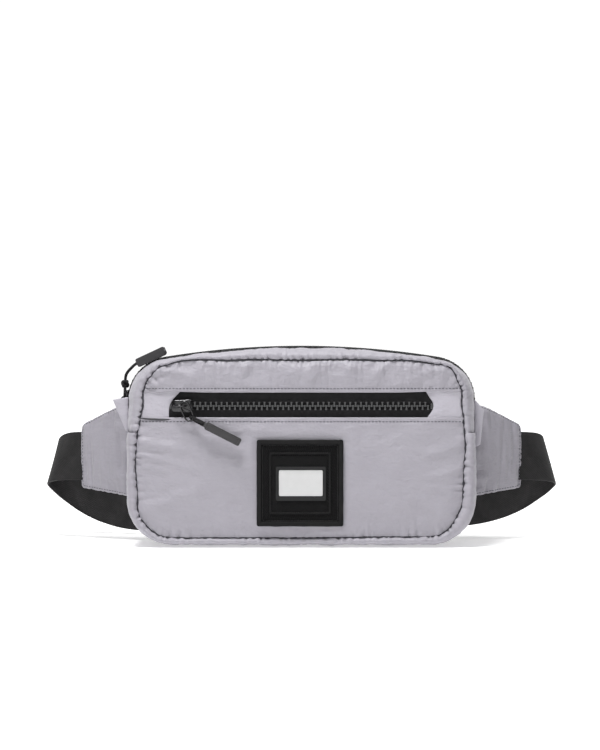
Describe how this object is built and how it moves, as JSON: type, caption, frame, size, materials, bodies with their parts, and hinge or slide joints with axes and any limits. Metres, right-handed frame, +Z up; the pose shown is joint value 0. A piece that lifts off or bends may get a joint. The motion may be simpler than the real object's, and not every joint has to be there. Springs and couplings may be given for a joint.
{
  "type": "waist bag",
  "caption": "Padded waist bag with a zipped mouth, a zipped front pocket, side wings and a webbing belt closed by a side-release buckle.",
  "frame": {"origin": "bottom centre of the pouch, at the middle of its depth, on the surface that it stands on", "axes": "+Z up, +X to the right seen from the front, -Y out of the front panel; the belt loop lies behind, at +Y"},
  "size_m": [0.409, 0.1517, 0.1485],
  "materials": {
    "shell_fabric": "satin padded nylon",
    "foam": "open-cell foam",
    "binding_tape": "woven tape",
    "lining_fabric": "thin woven polyester",
    "zip_tape": "woven zip tape",
    "zip_teeth": "moulded teeth, semi-gloss",
    "slider_metal": "black coated metal",
    "pull_cord": "braided cord",
    "pull_plastic": "moulded, satin",
    "patch_weave": "ribbed woven",
    "label_frame_rubber": "moulded frame",
    "label_white": "smooth plain",
    "webbing": "38 mm ribbed webbing",
    "buckle_plastic": "moulded acetal, satin"
  },
  "bodies": {
    "root": {"lower_gusset": "shell_fabric", "upper_gusset_rear": "shell_fabric", "front_panel_lower": "shell_fabric", "front_pad_lower": "foam", "back_panel": "shell_fabric", "back_pad": "foam", "seam_binding_front": "binding_tape", "seam_binding_rear": "binding_tape", "main_lining": "lining_fabric", "front_pocket_bag": "lining_fabric", "zip_end_tab_left": "shell_fabric", "zip_end_tab_right": "shell_fabric", "main_zip_teeth_rear": "zip_teeth", "main_zip_tape_rear": "zip_tape", "patch_base": "patch_weave", "patch_border": "patch_weave", "patch_inner_frame": "patch_weave", "label_frame": "label_frame_rubber", "label_plate": "label_white", "strap_left": "webbing", "strap_right": "webbing", "buckle_female": "buckle_plastic"},
    "front_flap": {"front_panel_upper": "shell_fabric", "upper_gusset_front": "shell_fabric", "main_zip_teeth_front": "zip_teeth", "main_zip_tape_front": "zip_tape", "front_zip_teeth_upper": "zip_teeth", "front_zip_teeth_lower": "zip_teeth", "front_zip_tape_upper": "zip_tape", "front_zip_tape_lower": "zip_tape", "front_zip_stop_left": "zip_teeth", "front_zip_stop_right": "zip_teeth"},
    "front_slider": {"front_slider": "slider_metal"},
    "front_ring": {"front_ring": "slider_metal"},
    "front_pull": {"front_pull_cord": "pull_cord", "front_pull_tab": "pull_plastic"},
    "main_slider": {"main_slider": "slider_metal"},
    "main_pull": {"main_pull_cord": "pull_cord", "main_pull_knot": "pull_cord", "main_pull_lead": "pull_cord", "main_pull_bar": "pull_plastic"},
    "wing_left": {"wing_left": "shell_fabric"},
    "wing_right": {"wing_right": "shell_fabric"},
    "buckle_male": {"buckle_male": "buckle_plastic"},
    "release_arm_upper": {"release_arm_upper": "buckle_plastic"},
    "release_arm_lower": {"release_arm_lower": "buckle_plastic"},
    "strap_keeper": {"strap_keeper": "buckle_plastic"}
  },
  "joints": [
    {"name": "mouth_open", "type": "hinge", "parent": "root", "child": "front_flap", "pos_m": [0, -0.0356, 0.082], "axis": [1, 0, 0], "range_deg": [0, 30], "deforming": ["main_zip_teeth_front", "main_zip_tape_front", "front_pocket_bag"]},
    {"name": "front_zip_slide", "type": "slide", "parent": "front_flap", "child": "front_slider", "axis": [1, 0, 0], "range_m": [0, 0.177]},
    {"name": "front_ring_lift", "type": "hinge", "parent": "front_slider", "child": "front_ring", "pos_m": [-0.0869, -0.0386, 0.1039], "axis": [-1, 0, 0], "range_deg": [0, 24]},
    {"name": "front_pull_swing", "type": "hinge", "parent": "front_ring", "child": "front_pull", "pos_m": [-0.08057, -0.0386, 0.09461], "axis": [0, -1, 0], "range_deg": [-28, 25]},
    {"name": "main_zip_open", "type": "hinge", "parent": "root", "child": "main_slider", "pos_m": [-0.099, 0, 0.108], "axis": [0, 1, 0], "range_deg": [0, 68]},
    {"name": "main_pull_turn", "type": "hinge", "parent": "main_slider", "child": "main_pull", "pos_m": [-0.13478, 0, 0.10775], "axis": [0, 1, 0], "range_deg": [-70, 0]},
    {"name": "wing_left_flex", "type": "hinge", "parent": "root", "child": "wing_left", "pos_m": [-0.134, 0.026, 0.0655], "axis": [0, 0, -1], "range_deg": [-12, 20], "deforming": ["strap_left"]},
    {"name": "wing_right_flex", "type": "hinge", "parent": "root", "child": "wing_right", "pos_m": [0.134, 0.026, 0.0655], "axis": [0, 0, 1], "range_deg": [-12, 20], "deforming": ["strap_right"]},
    {"name": "buckle_pull_apart", "type": "slide", "parent": "root", "child": "buckle_male", "axis": [1, 0, 0], "range_m": [0, 0.03]},
    {"name": "release_upper", "type": "hinge", "parent": "buckle_male", "child": "release_arm_upper", "pos_m": [0.0046, 0.074, 0.03925], "axis": [0, -1, 0], "range_deg": [0, 9], "stiffness_Nm_per_rad": 0.3},
    {"name": "release_lower", "type": "hinge", "parent": "buckle_male", "child": "release_arm_lower", "pos_m": [0.0046, 0.074, 0.01275], "axis": [0, 1, 0], "range_deg": [0, 9], "stiffness_Nm_per_rad": 0.3},
    {"name": "keeper_slide", "type": "slide", "parent": "root", "child": "strap_keeper", "axis": [1, 0, 0], "range_m": [-0.012, 0.012]}
  ],
  "couplings": [
    {"joint": "main_pull_turn", "follows": "main_zip_open", "ratio": -1}
  ]
}
